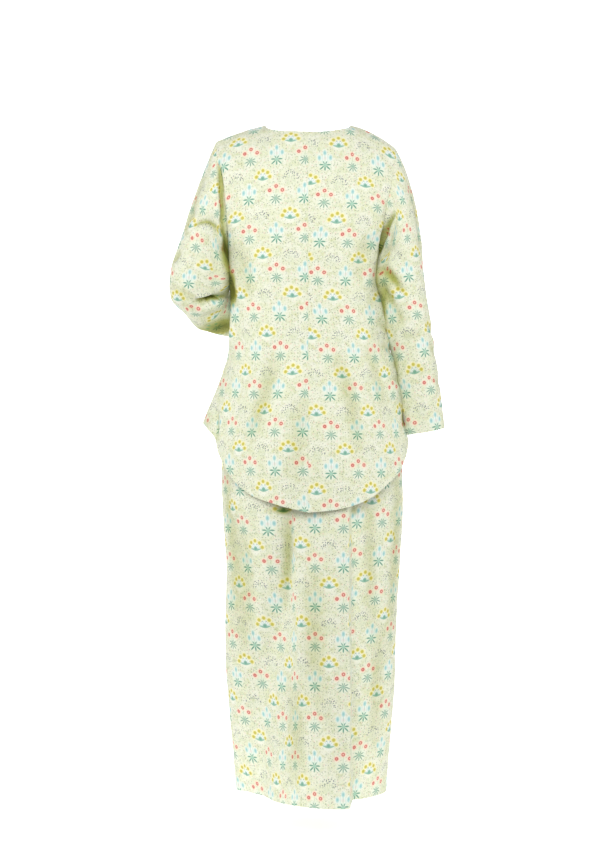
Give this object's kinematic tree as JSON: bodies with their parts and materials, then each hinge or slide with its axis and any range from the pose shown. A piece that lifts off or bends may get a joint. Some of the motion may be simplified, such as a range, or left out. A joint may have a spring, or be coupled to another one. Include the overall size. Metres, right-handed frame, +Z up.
{
  "type": "baju kurung",
  "caption": "Loose long-sleeved top with a round neck and a shirt-tail hem, worn over a long straight skirt with an elastic waist, in flower-printed cloth.",
  "frame": {"origin": "midway between the two points where the shoulder seams meet the neckline, where the shoulders carry the top", "axes": "+Z up the body to the neck, front of the garment faces -Y, +X to the wearer's left"},
  "size_m": [0.5757, 0.4329, 1.3842],
  "materials": {
    "cloth": "matt crepe, pale lime-cream with an all-over sprig print",
    "waistband": "matt cloth casing over flat elastic"
  },
  "bodies": {
    "root": {"front": "cloth", "back_left": "cloth", "back_right": "cloth", "sleeve_left_upper": "cloth", "sleeve_left_lower": "cloth", "sleeve_right": "cloth", "skirt_front": "cloth", "skirt_back": "cloth", "waistband": "waistband"}
  },
  "joints": []
}
